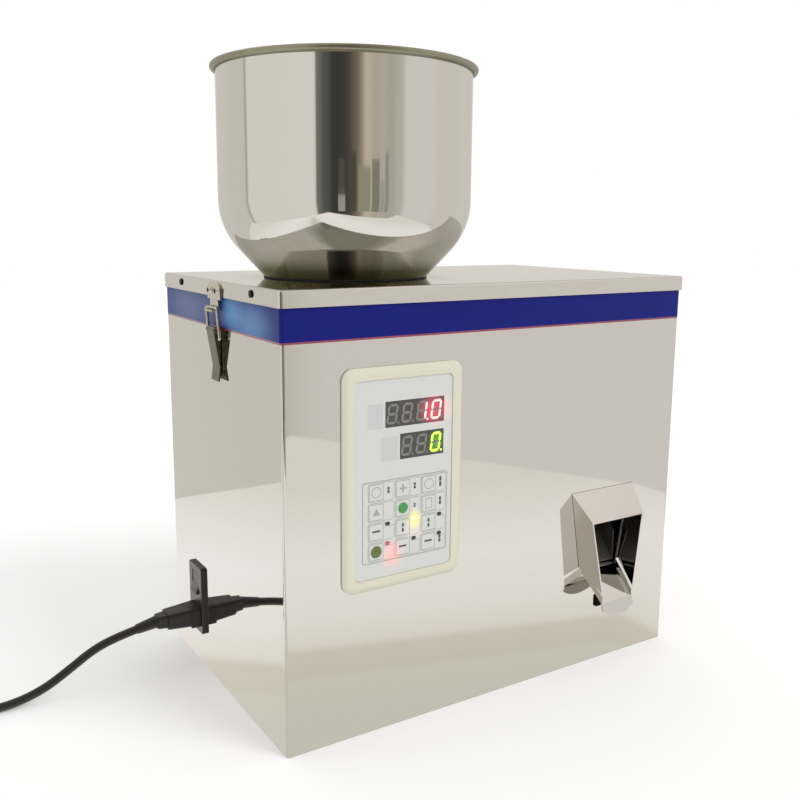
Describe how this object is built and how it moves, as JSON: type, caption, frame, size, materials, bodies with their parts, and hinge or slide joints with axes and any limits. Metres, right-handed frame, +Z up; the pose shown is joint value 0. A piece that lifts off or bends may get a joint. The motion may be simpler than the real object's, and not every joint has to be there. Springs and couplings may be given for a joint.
{
  "type": "granule filling machine",
  "caption": "Bench-top filling machine: a polished steel box with a round hopper bowl on its lid, a keypad, a front discharge chute and toggle latches.",
  "frame": {"origin": "centre of the cabinet's underside, on the surface it stands on", "axes": "+Z up, +X to the right along the front panel, -Y out of the front panel"},
  "size_m": [0.6622, 0.3362, 0.4976],
  "materials": {
    "polished_steel": "mirror-polished stainless sheet",
    "lid_steel": "polished stainless sheet",
    "bowl_steel": "spun and polished stainless",
    "plain_steel": "plain stainless sheet",
    "galvanised_steel": "galvanised sheet",
    "zinc_steel": "zinc-plated pressed steel",
    "steel_wire": "plated wire",
    "cast_block": "painted cast block",
    "spring_steel": "blued spring steel",
    "load_cell_alloy": "milled",
    "core_steel": "laminated core with a taped coil",
    "mount_rubber": "matt",
    "blue_vinyl": "self-adhesive film",
    "red_vinyl": "self-adhesive film",
    "bezel_plastic": "moulded, satin",
    "overlay_film": "printed membrane film",
    "key_film": "printed membrane film",
    "display_plastic": "smoked display face",
    "lamp_plastic": "tinted lamp windows",
    "board": "circuit board",
    "black_plastic": "moulded",
    "supply_case": "folded case",
    "contact_metal": "plated contacts",
    "black_screw": "blackened screws",
    "cord_rubber": "flexible sheath"
  },
  "bodies": {
    "cabinet": {"cabinet_shell": "polished_steel", "base_plate": "galvanised_steel", "back_panel": "polished_steel", "back_screws": "plain_steel", "blue_band": "blue_vinyl", "band_trim": "red_vinyl", "control_bezel": "bezel_plastic", "membrane_overlay": "overlay_film", "red_display": "display_plastic", "green_display": "display_plastic", "panel_leds": "lamp_plastic", "control_board": "board", "chute_hood": "polished_steel", "chute_floor": "polished_steel", "bag_sensor": "black_plastic", "inlet_module": "black_plastic", "inlet_blades": "contact_metal", "cord_connector": "cord_rubber", "cord_tube": "cord_rubber", "cord_coil": "cord_rubber", "mains_plug": "cord_rubber", "leaf_springs": "spring_steel", "feeder_base": "cast_block", "feeder_mounts": "mount_rubber", "feeder_magnet": "core_steel", "weigh_bucket": "plain_steel", "flap_solenoid": "core_steel", "load_cell": "load_cell_alloy", "load_cell_post": "galvanised_steel", "inner_chute": "plain_steel", "power_supply": "supply_case", "latch_base_left": "zinc_steel", "latch_base_right": "zinc_steel"},
    "lid": {"lid_cover": "lid_steel", "hopper_bowl": "bowl_steel", "bowl_clamp_ring": "plain_steel", "skirt_screws": "black_screw", "latch_catch_left": "zinc_steel", "latch_catch_right": "zinc_steel"},
    "lever_left": {"latch_lever_left": "zinc_steel"},
    "lever_right": {"latch_lever_right": "zinc_steel"},
    "bail_left": {"latch_bail_left": "steel_wire"},
    "bail_right": {"latch_bail_right": "steel_wire"},
    "rocker": {"rocker_switch": "black_plastic"},
    "pan": {"feeder_pan": "plain_steel", "feeder_armature": "zinc_steel"},
    "flap": {"bucket_flap": "plain_steel"},
    "plunger": {"solenoid_plunger": "zinc_steel"},
    "key_r1_c1": {"key_r1_c1": "key_film"},
    "key_r1_c2": {"key_r1_c2": "key_film"},
    "key_r1_c3": {"key_r1_c3": "key_film"},
    "key_r2_c1": {"key_r2_c1": "key_film"},
    "key_r2_c2": {"key_r2_c2": "key_film"},
    "key_r2_c3": {"key_r2_c3": "key_film"},
    "key_r3_c1": {"key_r3_c1": "key_film"},
    "key_r3_c2": {"key_r3_c2": "key_film"},
    "key_r3_c3": {"key_r3_c3": "key_film"},
    "key_r4_c1": {"key_r4_c1": "key_film"},
    "key_r4_c2": {"key_r4_c2": "key_film"},
    "key_r4_c3": {"key_r4_c3": "key_film"}
  },
  "joints": [
    {"name": "lid_lift", "type": "slide", "parent": "cabinet", "child": "lid", "axis": [0, 0, 1], "range_m": [0, 0.25]},
    {"name": "lever_left_swing", "type": "hinge", "parent": "cabinet", "child": "lever_left", "pos_m": [-0.1944, -0.0043, 0.297], "axis": [0, 1, 0], "range_deg": [0, 150]},
    {"name": "bail_left_swing", "type": "hinge", "parent": "lever_left", "child": "bail_left", "pos_m": [-0.1936, -0.0043, 0.2905], "axis": [0, 1, 0], "range_deg": [-150, 0]},
    {"name": "lever_right_swing", "type": "hinge", "parent": "cabinet", "child": "lever_right", "pos_m": [0.1944, -0.0043, 0.297], "axis": [0, -1, 0], "range_deg": [0, 150]},
    {"name": "bail_right_swing", "type": "hinge", "parent": "lever_right", "child": "bail_right", "pos_m": [0.1936, -0.0043, 0.2905], "axis": [0, -1, 0], "range_deg": [-150, 0]},
    {"name": "rocker_tilt", "type": "hinge", "parent": "cabinet", "child": "rocker", "pos_m": [-0.1912, 0.0598, 0.0725], "axis": [0, 1, 0], "range_deg": [-14, 0]},
    {"name": "pan_shake", "type": "slide", "parent": "cabinet", "child": "pan", "axis": [1, 0, 0], "range_m": [-0.0008, 0.0008], "stiffness_N_per_m": 80000},
    {"name": "flap_swing", "type": "hinge", "parent": "cabinet", "child": "flap", "pos_m": [0.1081, -0.0195, 0.195], "axis": [1, 0, 0], "range_deg": [0, 45], "stiffness_Nm_per_rad": 0.04, "springref_deg": -22.92},
    {"name": "plunger_slide", "type": "slide", "parent": "cabinet", "child": "plunger", "axis": [0, -1, 0], "range_m": [0, 0.0105]},
    {"name": "key_r1_c1_press", "type": "slide", "parent": "cabinet", "child": "key_r1_c1", "axis": [0, 1, 0], "range_m": [0, 0.00025], "stiffness_N_per_m": 4000},
    {"name": "key_r1_c2_press", "type": "slide", "parent": "cabinet", "child": "key_r1_c2", "axis": [0, 1, 0], "range_m": [0, 0.00025], "stiffness_N_per_m": 4000},
    {"name": "key_r1_c3_press", "type": "slide", "parent": "cabinet", "child": "key_r1_c3", "axis": [0, 1, 0], "range_m": [0, 0.00025], "stiffness_N_per_m": 4000},
    {"name": "key_r2_c1_press", "type": "slide", "parent": "cabinet", "child": "key_r2_c1", "axis": [0, 1, 0], "range_m": [0, 0.00025], "stiffness_N_per_m": 4000},
    {"name": "key_r2_c2_press", "type": "slide", "parent": "cabinet", "child": "key_r2_c2", "axis": [0, 1, 0], "range_m": [0, 0.00025], "stiffness_N_per_m": 4000},
    {"name": "key_r2_c3_press", "type": "slide", "parent": "cabinet", "child": "key_r2_c3", "axis": [0, 1, 0], "range_m": [0, 0.00025], "stiffness_N_per_m": 4000},
    {"name": "key_r3_c1_press", "type": "slide", "parent": "cabinet", "child": "key_r3_c1", "axis": [0, 1, 0], "range_m": [0, 0.00025], "stiffness_N_per_m": 4000},
    {"name": "key_r3_c2_press", "type": "slide", "parent": "cabinet", "child": "key_r3_c2", "axis": [0, 1, 0], "range_m": [0, 0.00025], "stiffness_N_per_m": 4000},
    {"name": "key_r3_c3_press", "type": "slide", "parent": "cabinet", "child": "key_r3_c3", "axis": [0, 1, 0], "range_m": [0, 0.00025], "stiffness_N_per_m": 4000},
    {"name": "key_r4_c1_press", "type": "slide", "parent": "cabinet", "child": "key_r4_c1", "axis": [0, 1, 0], "range_m": [0, 0.00025], "stiffness_N_per_m": 4000},
    {"name": "key_r4_c2_press", "type": "slide", "parent": "cabinet", "child": "key_r4_c2", "axis": [0, 1, 0], "range_m": [0, 0.00025], "stiffness_N_per_m": 4000},
    {"name": "key_r4_c3_press", "type": "slide", "parent": "cabinet", "child": "key_r4_c3", "axis": [0, 1, 0], "range_m": [0, 0.00025], "stiffness_N_per_m": 4000}
  ],
  "couplings": [
    {"joint": "bail_left_swing", "follows": "lever_left_swing", "ratio": -1},
    {"joint": "bail_right_swing", "follows": "lever_right_swing", "ratio": -1},
    {"joint": "plunger_slide", "follows": "flap_swing", "m_per_rad": 0.012}
  ]
}
